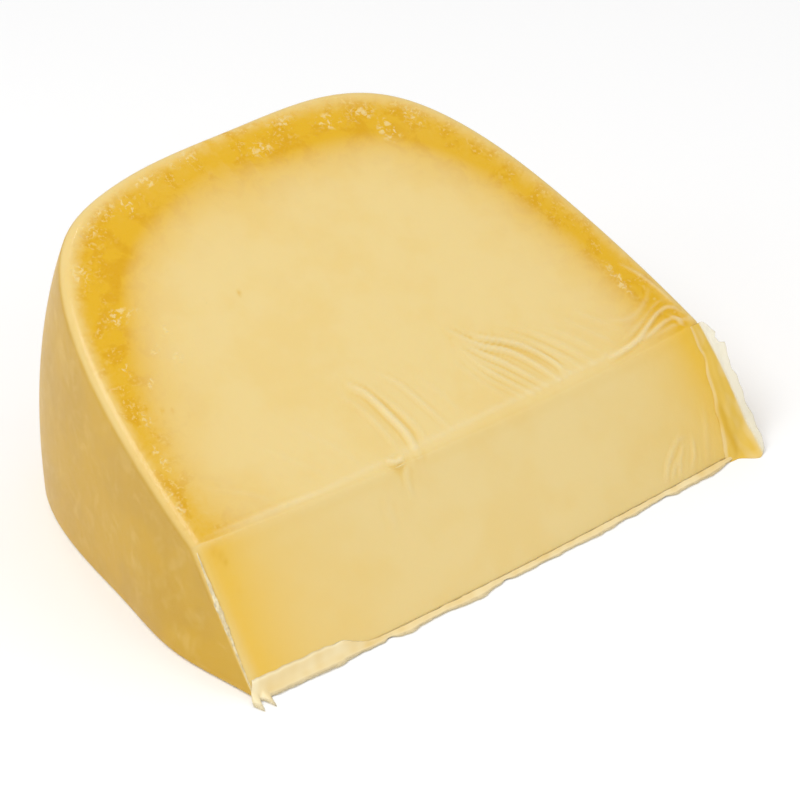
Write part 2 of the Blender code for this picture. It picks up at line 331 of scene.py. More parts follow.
def wheel_to_part(x, from_axis, angle, across, back):
    """The part's own place of points given round the wheel's axis, with the foot and the lean."""
    up = np.clip(angle / WEDGE_ANGLE, 0, 1)
    foot = np.exp(-0.5 * ((back - FOOT_PLACE) / FOOT_LENGTH) ** 2 - 0.5 * (up / FOOT_HEIGHT) ** 2)
    x = x - FOOT_SPREAD * foot * np.clip(1 - across, 0, 1) ** 2
    y, z = from_axis * np.cos(angle), from_axis * np.sin(angle)
    x = x + LEAN * (y - (TIP_LOW + TIP_Y))
    return np.stack([x, y, z], axis=1) + AXIS_TO_BASE


def stations(cells, first):
    """Along one side of the block: the share of its core, and the turn into the rounding.

    The turn is 0 over the core. In the rounding it is the tangent of an angle that grows
    in even steps to 45 degrees, and the share stays 0 or 1. The first cells of the core
    are first times the mean, and from there they grow or shrink evenly.
    """
    arc = np.tan(np.linspace(math.pi / 4, 0, ROUND_CELLS, endpoint=False))
    even = np.linspace(0, 1, cells + 1)
    share = np.concatenate([0 * arc, first * even + (1 - first) * even**2, 0 * arc + 1])
    turn = np.concatenate([-arc, np.zeros(cells + 1), arc[::-1]])
    return share, turn


def block_surface():
    """The points and four-sided faces of a block's outside, its six sides sewn together."""
    sides = [stations(count, first) for count, first in zip(CELLS, (NEAR_LEFT, NEAR_FRONT, 1.0))]
    sizes = [len(share) for share, _ in sides]
    index = np.indices(sizes).reshape(3, -1)
    last = np.array(sizes)[:, None] - 1
    outside = ((index == 0) | (index == last)).any(axis=0)
    number = (np.cumsum(outside) - 1).reshape(sizes)
    index = index[:, outside]
    shares = [side[0][places] for side, places in zip(sides, index)]
    turns = [side[1][places] for side, places in zip(sides, index)]
    faces = []
    for axis in range(3):
        for end in (0, -1):
            sheet = np.take(number, end, axis=axis)
            corners = (sheet[:-1, :-1], sheet[1:, :-1], sheet[1:, 1:], sheet[:-1, 1:])
            quads = np.stack(corners, axis=-1).reshape(-1, 4)
            faces.append(quads if (end == -1) != (axis == 1) else quads[:, ::-1])
    return shares, turns, np.concatenate(faces)


def rounded_wedge(settings, gap=0.0):
    """The wedge with every edge rounded: its points, outward directions and faces.

    The core is the wedge with all its bounds moved inwards by the rounding, which grows
    evenly from the foot to the top. A point of the surface lies that far from its core
    point, less the gap, in the direction that sums the normals of the bounds it belongs
    to, each times the point's turn. So its edges are true rounds. Where a side meets the
    rear the rind has no edge, so the points that fall together there are made one.
    """
    (across, back, up), (turn_x, turn_y, turn_z), faces = block_surface()
    rounding = settings.rounding_foot + (settings.rounding - settings.rounding_foot) * up
    angle = WEDGE_ANGLE * up
    for _ in range(INSET_PASSES):
        x, from_axis, places = section(across, back, angle, rounding)
        margin = np.arcsin(rounding / from_axis)
        angle = margin + (WEDGE_ANGLE - 2 * margin) * up
    core = wheel_to_part(x, from_axis, angle, across, back)

    share, _, normal = wheel_profile()
    place = np.where(turn_x < 0, places[0], np.where(turn_x > 0, places[2], places[1]))
    out_x, out_r = np.interp(place, share, normal[0]), np.interp(place, share, normal[1])
    out_y, out_z = out_r * np.cos(angle), out_r * np.sin(angle)
    rind_out = np.stack([out_x, out_y - LEAN * out_x, out_z], axis=1)
    rind_out *= np.maximum(np.abs(turn_x), np.maximum(turn_y, 0))[:, None]
    tip_out = np.maximum(-turn_y, 0)[:, None] * TIP_OUT
    top_out = np.maximum(turn_z, 0)[:, None] * TOP_OUT
    base_out = np.maximum(-turn_z, 0)[:, None] * BASE_OUT
    outward = rind_out + tip_out + top_out + base_out
    outward /= np.linalg.norm(outward, axis=1)[:, None]
    points = core + outward * (rounding - gap)[:, None]
    grid = np.round(points / SAME_PLACE)
    _, kept, same = np.unique(grid, axis=0, return_index=True, return_inverse=True)
    faces = same.reshape(-1)[faces]
    whole = (np.diff(np.sort(faces, axis=1), axis=1) > 0).all(axis=1)
    return points[kept], outward[kept], faces[whole]


def from_rind(points):
    """The depth of each point under the rind in its section plane, and where on the outline.

    The second is the share of the top's outline from the left end of the tip cut to the
    right one, and passes 0 or 1 a little further down.
    """
    wheel = points - AXIS_TO_BASE
    x = wheel[:, 0] - LEAN * (wheel[:, 1] - (TIP_LOW + TIP_Y))
    from_axis = np.hypot(wheel[:, 1], wheel[:, 2])
    share, (along, radius), _ = wheel_profile()
    on_top = share[radius > TIP_HIGH]
    kept = (radius > TIP_LOW) & (np.arange(PROFILE_SAMPLES) % 4 == 0)
    share, along, radius = share[kept], along[kept], radius[kept]
    share = (share - on_top[0]) / (on_top[-1] - on_top[0])
    depth, around = np.empty(len(points)), np.empty(len(points))
    for rows in np.array_split(np.arange(len(points)), 24):
        gaps = np.hypot(x[rows, None] - along, from_axis[rows, None] - radius)
        nearest = gaps.argmin(axis=1)
        depth[rows], around[rows] = gaps.min(axis=1), share[nearest]
    return depth, around


def over_the_edge(points, outward):
    """How far each point is from the upper edge of the tip cut: up the top, or minus down the cut."""
    wheel = points - AXIS_TO_BASE
    up_top = np.hypot(wheel[:, 1], wheel[:, 2]) - TIP_HIGH
    down_cut = wheel[:, 2] / TIP_Z * TIP_HEIGHT - TIP_HEIGHT
    return np.where(outward @ TOP_OUT >= outward @ TIP_OUT, up_top, down_cut)


def curve_through(points, steps):
    """A smooth line through points given as rows: Catmull-Rom pieces, at even steps."""
    points = np.array(points, dtype=float)
    ends = 2 * points[0] - points[1], 2 * points[-1] - points[-2]
    all_points = np.concatenate([[ends[0]], points, [ends[1]]])
    place = np.linspace(0, len(points) - 1, steps)
    piece = np.minimum(place.astype(int), len(points) - 2)
    t = (place - piece)[:, None]
    a, b, c, d = (all_points[piece + k] for k in range(4))
    return 0.5 * (2 * b + (c - a) * t + (2 * a - 5 * b + 4 * c - d) * t**2 + (3 * b - a - 3 * c + d) * t**3)


def wrinkled(points, outward, scale):
    """The height of the film's wrinkles at each point, and how pale or golden they make the cheese: partly
    raised film, partly painted highlight and shade.

    A wrinkle is a bell curve of the distance from its line, tapered to both ends of it,
    with a shallower trough along each side. The second result is 1 on a high wrinkle and
    below 0 in a trough. On the crests it is paler where the film stands off, and is also a
    painted highlight; in the troughs it is a painted shade. It is also a little over 0 along
    the upper edge of the tip cut, a painted highlight there, and a little under 0 just
    below that edge, down the cut, a painted shade.
    """
    q = over_the_edge(points, outward)
    height = np.zeros(len(points))
    seen = (outward @ TOP_OUT > 0.3) | (outward @ TIP_OUT > 0.3)
    for line, rise, half_width in WRINKLES:
        path = curve_through(line, WRINKLE_STEPS) * MM
        low, high = path.min(axis=0) - WRINKLE_REACH, path.max(axis=0) + WRINKLE_REACH
        near = seen & (points[:, 0] > low[0]) & (points[:, 0] < high[0]) & (q > low[1]) & (q < high[1])
        from_x, from_q = points[near, 0, None] - path[:, 0], q[near, None] - path[:, 1]
        nearest = np.hypot(from_x, from_q).argmin(axis=1)
        row = np.arange(len(nearest))
        from_x, from_q = from_x[row, nearest], from_q[row, nearest]
        way = np.gradient(path, axis=0)
        step = np.hypot(*way.T).max()
        way_x, way_q = (way / np.hypot(*way.T)[:, None])[nearest].T
        past_end = np.maximum(np.abs(from_x * way_x + from_q * way_q) - 0.6 * step, 0)
        away = np.hypot(from_x * way_q - from_q * way_x, past_end) / (half_width * MM)
        taper = np.sin(math.pi * (nearest + 1) / (len(path) + 1)) ** 0.4
        crest = np.exp(-(away**2)) * taper
        trough = TROUGH_DEPTH * bell(away, 1.9, 0.8) * taper
        height[near] += rise * MM * (crest - trough)
    # Painted highlight along the upper edge of the tip cut, and painted shade just below it
    edge_highlight_and_shade = 0.45 * bell(q / MM, 0.2, 0.7) - 0.16 * bell(q / MM, -2.4, 1.4)
    return scale * height, np.clip(height / (0.3 * MM) + seen * edge_highlight_and_shade, -1, 1)


def bubbly(points, outward):
    """How thick the small bubbles lie at each point: the highest of the clusters' bell curves."""
    x, q = points[:, 0, None] / MM, over_the_edge(points, outward)[:, None] / MM
    middle_x, middle_q, reach_x, reach_q = np.array(BUBBLES).T
    bells = np.exp(-(((x - middle_x) / reach_x) ** 2) - ((q - middle_q) / reach_q) ** 2)
    return bells.max(axis=1) * smooth(0.3, 0.7, outward @ TOP_OUT)


def dark_spots(points, outward):
    """How dark the small spots are at each point: the highest of their bell curves."""
    x, q = points[:, 0, None] / MM, over_the_edge(points, outward)[:, None] / MM
    spot_x, spot_q, radius = np.array(SPOTS).T
    bells = np.exp(-(((x - spot_x) ** 2 + (q - spot_q) ** 2) / radius**2))
    seen = (outward @ TOP_OUT > 0.5) | (outward @ TIP_OUT > 0.5)
    return bells.max(axis=1) * seen


def new_mesh(name, points, faces, attributes=None):
    """An object of that name from arrays of points and faces, shaded smooth, with point attributes."""
    mesh = bpy.data.meshes.new(name)
    mesh.from_pydata(points.tolist(), [], [list(face) for face in faces])
    for key, values in (attributes or {}).items():
        layer = mesh.attributes.new(key, "FLOAT", "POINT")
        layer.data.foreach_set("value", np.ascontiguousarray(values, dtype=np.float32))
    mesh.shade_smooth()
    mesh.update()
    old = bpy.data.objects.get(name)
    if old is not None:
        bpy.data.objects.remove(old, do_unlink=True)
    piece = bpy.data.objects.new(name, mesh)
    bpy.context.scene.collection.objects.link(piece)
    return piece


def finish_piece(piece, material, slot, *nodes):
    """Gives a piece its material and body, and hides the CAD nodes that it stands for. Its slot is not
    used.
    """
    piece.data.materials.append(material)
    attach(piece, "root")
    if nodes:
        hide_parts(*nodes)


class Recipe:
    """A material made of nodes, with a short call for each kind that is used here."""

    def __init__(self, name):
        self.material = bpy.data.materials.new(name)
        self.material.use_nodes = True
        self.tree = self.material.node_tree
        self.tree.nodes.clear()
        self.place = self.add("ShaderNodeTexCoord").outputs["Object"]

    def add(self, kind, inputs=None, **settings):
        """A node of that kind. Inputs are numbers, colours or other nodes' outputs."""
        node = self.tree.nodes.new(kind)
        for key, value in settings.items():
            setattr(node, key, value)
        for key, value in (inputs or {}).items():
            self.feed(node.inputs[key], value)
        return node

    def feed(self, socket, value):
        """Links another node's output to a socket, or sets the socket's own value."""
        if isinstance(value, bpy.types.NodeSocket):
            self.tree.links.new(value, socket)
        else:
            socket.default_value = (*value, 1.0) if isinstance(value, Color) else value

    def attribute(self, name):
        """The value of a point attribute."""
        return self.add("ShaderNodeAttribute", attribute_name=name).outputs["Fac"]

    def noise(self, length, detail=3.0, roughness=0.55, distortion=0.0):
        """Soft noise of 0 to 1 whose patches are about length across."""
        values = {
            "Vector": self.place,
            "Scale": 1 / length,
            "Detail": detail,
            "Roughness": roughness,
            "Distortion": distortion,
        }
        return self.add("ShaderNodeTexNoise", values).outputs["Fac"]

    def spread(self, value, low, high, to_low=0.0, to_high=1.0):
        """value brought smoothly from the range low to high to another one."""
        values = {"Value": value, "From Min": low, "From Max": high}
        values.update({"To Min": to_low, "To Max": to_high})
        return self.add("ShaderNodeMapRange", values, interpolation_type="SMOOTHSTEP").outputs["Result"]

    def maths(self, operation, first, second=0.0, third=0.0):
        """The values put together by a Math node."""
        node = self.add("ShaderNodeMath", {0: first, 1: second, 2: third}, operation=operation)
        return node.outputs[0]

    def times(self, first, second):
        """The product of two values."""
        return self.maths("MULTIPLY", first, second)

    def blend(self, share, first, second):
        """first where share is 0 and second where it is 1, as colours."""
        node = self.add("ShaderNodeMix", data_type="RGBA")
        for key, value in ((0, share), (6, first), (7, second)):
            self.feed(node.inputs[key], value)
        return node.outputs[2]

    def bump(self, height, distance, strength=1.0):
        """A normal that follows height, which is a share of distance."""
        values = {"Height": height, "Distance": distance, "Strength": strength}
        return self.add("ShaderNodeBump", values).outputs["Normal"]

    def finish(self, shader):
        """Joins the shader to the output and gives the material."""
        self.add("ShaderNodeOutputMaterial", {"Surface": shader})
        return self.material


def screen(red, green, blue):
    """The light's own amounts for a colour given as a screen shows it, from 0 to 255."""
    shown = [value / 255 for value in (red, green, blue)]
    return tuple(v / 12.92 if v <= 0.04045 else ((v + 0.055) / 1.055) ** 2.4 for v in shown)


def colour_property(name, description, red, green, blue):
    """A colour to pick, whose default is given as a screen shows it."""
    return FloatVectorProperty(
        name=name,
        description=description,
        subtype="COLOR",
        size=3,
        min=0.0,
        max=1.0,
        default=screen(red, green, blue),
    )


def length_property(name, description, default):
    """A length to set, in metres."""
    return FloatProperty(name=name, description=description, default=default, unit="LENGTH", precision=5)


def share_property(name, description, default, high=1.0):
    """A share to set, from 0 to high."""
    limits = {"min": 0.0, "max": high, "subtype": "FACTOR"}
    return FloatProperty(name=name, description=description, default=default, **limits)


def angle_property(name, description, degrees):
    """An angle to set, whose default is given in degrees."""
    return FloatProperty(name=name, description=description, default=math.radians(degrees), unit="ROTATION")


def power_property(name, description, watts):
    """A light's power to set, in watts."""
    return FloatProperty(name=name, description=description, default=watts, min=0.0, unit="POWER")


class GoudaCheese(PropertyGroup):
    """The cheese: its rounding and its colours."""

    rounding: length_property("Rounding at the top", "Radius of the upper edges", 2.2 * MM)
    rounding_foot: length_property("Rounding at the foot", "Radius of the lower edges", 0.7 * MM)
    paste: colour_property("Paste", "The pale inside of the cheese", 229, 205, 141)
    paste_warm: colour_property("Warmer paste", "Its warmer patches", 228, 201, 132)
    gold: colour_property("Golden layer", "The drier layer under the rind", 220, 172, 28)
    gold_deep: colour_property("Deep gold", "Its darker patches", 213, 161, 15)
    # A lighter copy of the golden layer for the tip cut: painted light for how the light falls on that face
    gold_cut_lit: colour_property("Gold on the tip cut", "The golden layer on the tip cut", 231, 186, 54)
    fleck: colour_property("Flecks", "Pale flecks in the golden layer", 232, 205, 128)
    # Pale where the film stands off a wrinkle, and a painted highlight on wrinkle crests and along the
    # upper edge of the tip cut
    lifted_and_highlight: colour_property("Lifted film", "The cheese where a wrinkle stands off it", 240, 222, 168)
    rind: colour_property("Rind", "The outside of the wheel", 206, 164, 54)
    rind_dull: colour_property("Dull rind", "Its greyer patches", 200, 159, 58)


class GoudaFilm(PropertyGroup):
    """The clear film round the cheese."""

    gap: length_property("Gap", "Between the cheese and the film", 0.15 * MM)
    wrinkle: share_property("Wrinkles", "Their height, as a share of the heights listed", 1.0, 3.0)
    roughness: share_property("Roughness", "How soft the film's gloss is", 0.16)
    shine: share_property("Shine", "The film's gloss as a share of a thick clear sheet's", 0.3)
    milky: colour_property("Milky film", "Film that is folded or crumpled", 248, 243, 216)
    stained: colour_property("Stained film", "Folded film with cheese in its folds", 224, 185, 72)
    deep: colour_property("Deep folds", "The darkest folds of the stained film", 213, 168, 32)
    thickness: length_property("Hem thickness", "Of the folded hems", 0.14 * MM)


class GoudaStage(PropertyGroup):
    """The camera, the lights and the floor."""

    aim: FloatVectorProperty(
        name="Aim",
        description="The point that the camera turns round",
        subtype="TRANSLATION",
        unit="LENGTH",
        size=3,
        default=(-0.000213, 0.000663, 0.020),
    )
    turn: angle_property("Turn", "Round the wedge", -35.37)
    rise: angle_property("Rise", "Above the floor", 32.73)
    roll: angle_property("Roll", "Of the camera on its own axis", -3.82)
    distance: length_property("Distance", "From the point to the camera", 583.6 * MM)
    aside: length_property("Aside", "How far the camera is moved to its right", 8.50 * MM)
    above: length_property("Above", "How far the camera is moved up", -5.56 * MM)
    lens: FloatProperty(name="Lens", description="Focal length in mm", default=150.9, min=20, unit="CAMERA")
    key: power_property("Key light", "The large soft light", 3.15)
    fill: power_property("Fill light", "The second soft light", 0.92)
    edge: power_property("Edge light", "The light along the left edge", 0.22)
    glint: power_property("Glints", "Each small light for the wrinkles", 0.25)
    sky: FloatProperty(name="Sky", description="Strength of the even light all round", default=0.60, min=0)


def gold_share(depth, around):
    """How golden the cheese is, from the depth under the rind and the place round it.

    With the depth it rises smoothly from 0.14 to full and stays there. Past the depth where
    it begins to fade it is e to the minus of the further depth over the tail.
    """
    band = np.array(GOLD_BAND)
    starts, full, fades, tail, strength = (np.interp(around, band[:, 0], band[:, k]) for k in range(1, 6))
    # The paler strip at the rim, where the gold is low before it rises, is partly film over the rounded
    # edge and partly a painted highlight on that edge
    rise = 0.14 + 0.86 * smooth(starts - 0.6, full + 0.4, depth / MM)
    return strength * rise * np.exp(-np.maximum(depth / MM - fades, 0) / tail)


def bubble_share(recipe, fine):
    """Small uneven bubbles of about half a millimetre where the attribute bubbly is high."""
    rounds = recipe.spread(recipe.noise(0.9 * MM, 2.0, 0.5, 0.6), 0.50, 0.64)
    near = recipe.maths("ADD", recipe.attribute("bubbly"), recipe.times(fine, 0.7))
    return recipe.times(rounds, recipe.spread(near, 0.52, 1.05))


def cheese_material(settings):
    """Pale paste, a blotchy golden layer under the rind with pale flecks, and a tan rind."""
    recipe = Recipe("cheese")
    blend, spread, times = recipe.blend, recipe.spread, recipe.times
    blotch = recipe.noise(12 * MM, 4.0, 0.55)
    patch = recipe.noise(4.5 * MM, 4.0, 0.62, 0.5)
    fine = recipe.noise(1.3 * MM, 4.0, 0.65)
    gold_amount = recipe.attribute("gold")
    outer = recipe.attribute("outer")

    paste = blend(spread(blotch, 0.40, 0.68), settings.paste, settings.paste_warm)
    gold = blend(spread(patch, 0.46, 0.62), settings.gold, settings.gold_deep)
    # On the tip cut the golden layer is a painted lighter copy, for how the light falls on that face
    gold = blend(recipe.attribute("on_cut"), gold, settings.gold_cut_lit)
    rind = blend(spread(blotch, 0.38, 0.64), settings.rind, settings.rind_dull)
    rind = blend(spread(patch, 0.48, 0.72, 0.0, 0.22), rind, settings.fleck)

    wander = times(recipe.maths("SUBTRACT", patch, 0.47), 0.70)
    grain = times(recipe.maths("SUBTRACT", fine, 0.5), 0.35)
    wander = times(recipe.maths("ADD", wander, grain), outer)
    wander = times(wander, spread(gold_amount, 0.05, 0.6))
    golden = recipe.maths("ADD", gold_amount, wander)
    colour = blend(spread(golden, -0.15, 1.02), paste, gold)

    bubbles = bubble_share(recipe, fine)
    specks = recipe.noise(0.7 * MM, 3.0, 0.6)
    fleck = times(spread(patch, 0.44, 0.60), spread(specks, 0.50, 0.64))
    fleck = times(fleck, times(outer, 0.50))
    fleck = recipe.maths("MAXIMUM", fleck, times(bubbles, 0.75))
    colour = blend(fleck, colour, settings.fleck)
    # Paler on wrinkle crests, partly raised film and partly painted highlight, and a painted highlight
    # along the upper edge of the tip cut; painted shade, in gold, in the troughs and just below that edge
    wrinkle_and_painted_light = recipe.attribute("wrinkle_and_painted_light")
    colour = blend(spread(wrinkle_and_painted_light, 0.0, 1.0, 0.0, 0.45), colour, settings.lifted_and_highlight)
    colour = blend(spread(wrinkle_and_painted_light, 0.0, -0.5, 0.0, 0.40), colour, settings.gold)
    spots = times(recipe.attribute("spots"), spread(fine, 0.3, 0.7, 0.3, 0.8))
    colour = blend(spots, colour, settings.gold_deep)
    colour = blend(recipe.attribute("rind"), colour, rind)

    inputs = {
        "Base Color": colour,
        "Roughness": spread(fine, 0.3, 0.7, 0.42, 0.55),
        "Normal": recipe.bump(fine, 0.08 * MM, 0.5),
        "Subsurface Weight": 0.10,
        "Subsurface Radius": (1.0, 0.6, 0.2),
        "Subsurface Scale": 2.0 * MM,
        "Specular IOR Level": 0.12,
    }
    return recipe.finish(recipe.add("ShaderNodeBsdfPrincipled", inputs).outputs[0])


def film_material(name, settings, haze=0.0):
    """Clear film: see-through, faintly glossy, and milky where the attribute cloud says.

    The milk is uneven except where the attribute packed is 1, and haze adds to it all over.
    The attributes stain and deep choose its colour.
    """
    recipe = Recipe(name)
    soft = recipe.noise(2.5 * MM, 3.0, 0.5)
    fine = recipe.noise(0.6 * MM, 3.0, 0.6)
    normal = recipe.bump(soft, 0.05 * MM, 0.6)
    clear = recipe.add("ShaderNodeBsdfTransparent", {"Color": (1.0, 1.0, 1.0, 1.0)})
    inputs = {"Roughness": settings.roughness, "Normal": normal, "Color": (1.0, 1.0, 1.0, 1.0)}
    gloss = recipe.add("ShaderNodeBsdfGlossy", inputs)
    facing = recipe.add("ShaderNodeLayerWeight", {"Blend": 0.5, "Normal": normal}).outputs["Facing"]
    mirror = recipe.maths("MULTIPLY_ADD", recipe.maths("POWER", facing, 4.0), 0.6, 0.05)
    mirror = recipe.times(mirror, settings.shine)
    sheet = recipe.add("ShaderNodeMixShader", {0: mirror, 1: clear.outputs[0], 2: gloss.outputs[0]})
    cloud = recipe.attribute("cloud")
    uneven = recipe.spread(recipe.noise(2.0 * MM, 4.0, 0.6), 0.35, 0.60, 0.5, 1.0)
    uneven = recipe.maths("MAXIMUM", uneven, recipe.attribute("packed"))
    cloud = recipe.times(cloud, uneven)
    bubbles = recipe.times(bubble_share(recipe, fine), 0.12)
    cloud = recipe.maths("ADD", recipe.maths("MAXIMUM", cloud, bubbles), haze)
    colour = recipe.blend(recipe.attribute("stain"), settings.milky, settings.stained)
    colour = recipe.blend(recipe.attribute("deep"), colour, settings.deep)
    inputs = {
        "Base Color": colour,
        "Roughness": 0.3,
        "Normal": normal,
        "Specular IOR Level": 0.4,
    }
    milk = recipe.add("ShaderNodeBsdfPrincipled", inputs)
    shares = {0: cloud, 1: sheet.outputs[0], 2: milk.outputs[0]}
    return recipe.finish(recipe.add("ShaderNodeMixShader", shares).outputs[0])


def on_tip_cut(across, angle):
    """Points of the bare tip cut, for shares across it and angles round the wheel's axis."""
    x, from_axis, _ = section(across, 0 * across, angle, 0.0)
    return wheel_to_part(x, from_axis, angle, across, 0 * across)


def tip_cut_points(x, height, stand_off):
    """Points off the tip cut by stand_off, at the part's own x and a height up its slope."""
    low = np.maximum(height, 0)
    y, z = TIP_LOW + TIP_Y * low / TIP_HEIGHT, TIP_Z * low / TIP_HEIGHT
    angle = np.arctan2(z, y)
    left, right = (on_tip_cut(np.full(len(x), side), angle)[:, 0] for side in (0.0, 1.0))
    points = on_tip_cut((x - left) / (right - left), angle)
    points = points + (height - low)[:, None] * np.array([0.0, TIP_Y, TIP_Z]) / TIP_HEIGHT
    return points + np.asarray(stand_off)[:, None] * TIP_OUT


def sheet_faces(rows, columns):
    """The faces of a grid whose points run along its columns, then its rows."""
    number = np.arange(rows * columns).reshape(rows, columns)
    corners = (number[:-1, :-1], number[:-1, 1:], number[1:, 1:], number[1:, :-1])
    return np.stack(corners, axis=-1).reshape(-1, 4)


def new_sheet(name, points, shape, layers, thickness):
    """A thin closed sheet from a grid of points, made solid to one side by Solidify."""
    sheet = new_mesh(name, points, sheet_faces(*shape), layers)
    body = sheet.modifiers.new("thickness", "SOLIDIFY")
    body.thickness = thickness
    body.offset = 1.0
    return sheet


def strip_grid(shape, ends):
    """The places along a strip and, from 0 to 1, across it, at each point of its grid."""
    rows, columns = shape
    along, across = np.meshgrid(np.linspace(*ends, columns), np.linspace(0, 1, rows))
    return along.ravel(), across.ravel()


def front_hem():
    """The hem along the foot of the tip cut: its points, its grid's shape and its attributes.

    out is 0 at the ragged lip on the floor and 1 at the upper edge, which is tucked into
    the cheese. Lengths are in mm.
    """
    x, out = strip_grid(FRONT_GRID, FRONT_ENDS)
    line = x[:, None]
    folded = 1 / (1 + np.exp((x - FOLD_END) / FOLD_SOFTNESS))
    width = FRONT_WIDTH + FOLD_WIDTH * folded
    ragged = ripple(line, (1.6, 6.0), 3) * 0.11 + ripple(line, (8.0, 30.0), 5) * 0.28
    bumps = sum(height * bell(x, place, reach) for place, reach, height in LIP_BUMPS)
    bumps = bumps - 0.3 * smooth(44, 50, x)
    tips = sum(TORN_REACH * np.maximum(1 - np.abs(x - place) / half, 0) for place, half in TORN_TIPS)
    packed_to = 0.44 + 0.46 * folded
    lip = (np.maximum(LIP_WIDTH + ragged + bumps, 0.05) + tips) * np.clip(1 - out / 0.5, 0, 1) ** 2
    rise = width * out + 0.10 + 0.12 * ripple(line, (2.0, 7.0), 8) * out - 0.55 * lip
    tucked = 0.36 * smooth(-0.06, 0.08, out - packed_to)
    left_end = smooth(-50.5, -54.8, x)
    points = tip_cut_points((x + 2.0 * out * left_end) * MM, rise * MM, (0.03 + lip - tucked) * MM)
    packed = smooth(0.12, 0.0, out - packed_to)
    seam = bell(out, 0.86, 0.06) * folded
    patches = 0.12 * ripple(np.stack([x, 3 * out], axis=1), (1.5, 8.0), 41)
    deep = 0.08 + smooth(0.0, 0.25, out) * (0.24 + patches) - 0.18 * seam - 0.2 * left_end
    layers = {
        "cloud": packed * (1 - 0.50 * smooth(0.16, 0.0, out)),
        "packed": packed * smooth(0.0, 0.10, out),
        "stain": 0.36 + 0.15 * smooth(34, 48, x) - 0.1 * seam,
        "deep": deep,
    }
    return points, FRONT_GRID, layers


def right_hem():
    """The hem down the right end of the tip cut: its points, its grid's shape and its attributes.

    out is 0 at the crease where the hem leaves the cheese and 1 at its fringe, and rise is
    the height up the cut. Its foot flares away from the cut. Lengths are in mm.
    """
    rise, out = strip_grid(RIGHT_GRID, RIGHT_ENDS)
    line = rise[:, None]
    crease = np.interp(rise, *CREASE) + 0.16 * ripple(line, (2.5, 7.0), 9)
    fringe = np.interp(rise, *FRINGE) + 0.25 * ripple(line, (2.5, 8.0), 12)
    x = crease + (fringe - crease) * out
    folds = 0.08 * ripple(np.stack([0.6 * rise, 2 * x], axis=1), (3.0, 9.0), 21)
    streak = bell(x + 0.06 * rise, 50.6, 0.7) * smooth(13, 7, rise) * smooth(-1, 2, rise)
    flare = smooth(6, -0.4, rise) * smooth(0.35, 1.0, out)
    stand = (0.30 + folds) * np.sin(math.pi * out) ** 0.7 + 0.25 * smooth(0.7, 1.0, out)
    stand = stand + 0.12 * streak + 2.2 * flare - 0.30 * smooth(0.08, 0.0, out)
    points = tip_cut_points(x * MM, (rise - 1.3 * flare) * MM, stand * MM)
    past = smooth(-0.35, 0.25, x - np.interp(rise, *GOLD_EDGE))
    mottle = 0.25 * ripple(np.stack([0.7 * rise, 1.5 * x], axis=1), (2.0, 7.0), 23)
    deep = 0.9 * streak + 0.35 * bell(out, 0.18, 0.10) * smooth(4, 10, rise) + mottle
    stain = 1 - 0.35 * bell(out, 0.06, 0.035) - 0.25 * smooth(0.5, 0.9, out) - 0.6 * mottle
    layers = {
        "cloud": (1 - past) + 0.42 * past,
        "packed": np.ones_like(past),
        "stain": stain * (1 - past) + 0.12 * past,
        "deep": np.clip(deep * (1 - past), 0, 1),
    }
    return points, RIGHT_GRID, layers


class GOUDA_OT_cheese(Operator):
    """Makes the cheese itself, with its golden layer, its flecks and its rind"""

    bl_idname = "gouda.cheese"
    bl_label = "Cheese"

    def execute(self, context):
        settings, film = context.scene.gouda_cheese, context.scene.gouda_film
        points, outward, faces = rounded_wedge(settings, film.gap)
        depth, around = from_rind(points)
        height, wrinkle_and_painted_light = wrinkled(points, outward, film.wrinkle)
        on_rind = np.maximum(outward @ TOP_OUT, np.maximum(outward @ TIP_OUT, outward @ BASE_OUT))
        on_cut = smooth(-0.08, 0.08, outward @ (TIP_OUT - TOP_OUT)) * smooth(0.3, 0.7, outward @ TIP_OUT)
        layers = {
            "gold": gold_share(depth, around),
            "outer": (1 - smooth(4 * MM, 10 * MM, depth)) * (1 - 0.85 * on_cut),
            "on_cut": on_cut,
            "spots": dark_spots(points, outward),
            "rind": 1 - smooth(0.15, 0.60, on_rind),
            "bubbly": bubbly(points, outward),
            "wrinkle_and_painted_light": wrinkle_and_painted_light,
        }
        cheese = new_mesh("cheese", points + outward * height[:, None], faces, layers)
        finish_piece(cheese, cheese_material(settings), "cheese", "gouda")
        return {"FINISHED"}


class GOUDA_OT_film(Operator):
    """Makes the film that lies on the cheese, with its wrinkles and bubbles"""

    bl_idname = "gouda.film"
    bl_label = "Film"

    def execute(self, context):
        settings = context.scene.gouda_film
        points, outward, faces = rounded_wedge(context.scene.gouda_cheese)
        height, wrinkle_and_painted_light = wrinkled(points, outward, settings.wrinkle)
        # The film is milky on wrinkle crests, partly as a painted highlight, and along the upper edge of
        # the tip cut as a painted highlight
        layers = {"cloud": 0.20 * np.maximum(wrinkle_and_painted_light, 0), "bubbly": bubbly(points, outward)}
        film = new_mesh("film", points + outward * height[:, None], faces, layers)
        finish_piece(film, film_material("film", settings), "film", "gouda")
        return {"FINISHED"}


class GOUDA_OT_hems(Operator):
    """Makes the trimmed hems of the film: along the foot of the tip cut and down its right end"""

    bl_idname = "gouda.hems"
    bl_label = "Hems"

    def execute(self, context):
        settings = context.scene.gouda_film
        material = film_material("film_hem", settings)
        for name, node, make_hem in (
            ("hem_front", "film_hem_front", front_hem),
            ("hem_right", "film_hem_right", right_hem),
        ):
            points, shape, layers = make_hem()
            points[:, 2] = np.maximum(points[:, 2], HEM_CLEARANCE)
            hem = new_sheet(name, points, shape, layers, settings.thickness)
            finish_piece(hem, material, "film", node)
        return {"FINISHED"}


